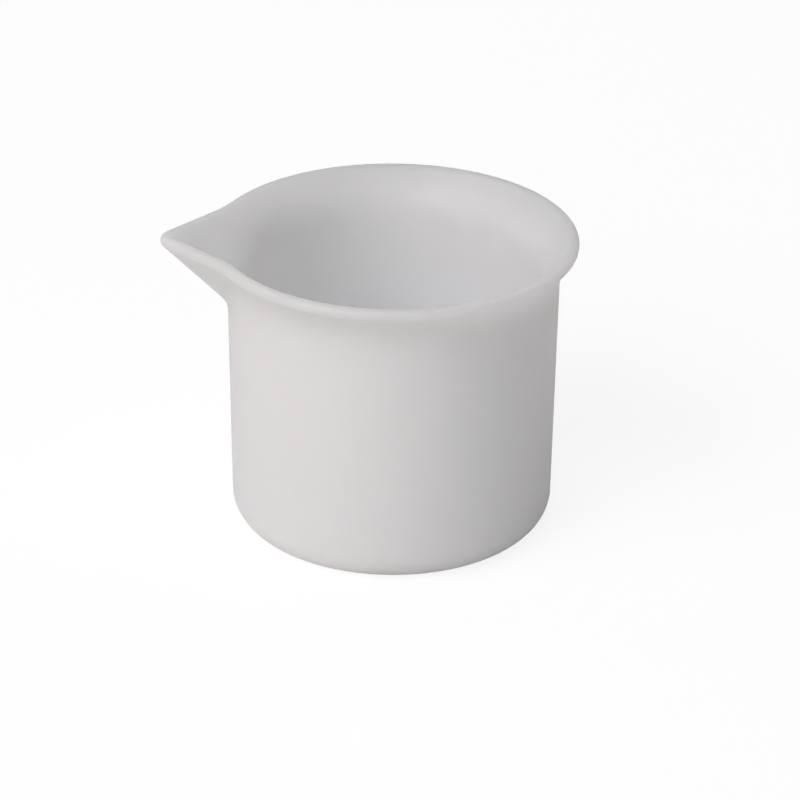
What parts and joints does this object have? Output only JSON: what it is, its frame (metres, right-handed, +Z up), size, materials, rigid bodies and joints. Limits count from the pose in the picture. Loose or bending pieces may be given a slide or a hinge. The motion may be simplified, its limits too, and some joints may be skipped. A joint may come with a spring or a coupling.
{
  "type": "resin mixing cup",
  "caption": "Small round silicone mixing cup with a flared rim, a rounded base and a pointed pouring spout, for mixing and pouring casting resin.",
  "frame": {"origin": "middle of the flat underside, on the cup's axis", "axes": "+Z up the cup's axis, the spout points along -X, XZ is the mirror plane"},
  "size_m": [0.0661, 0.0584, 0.049],
  "materials": {
    "silicone": "satin milky translucent moulded silicone"
  },
  "bodies": {
    "root": {"cup": "silicone"}
  },
  "joints": []
}
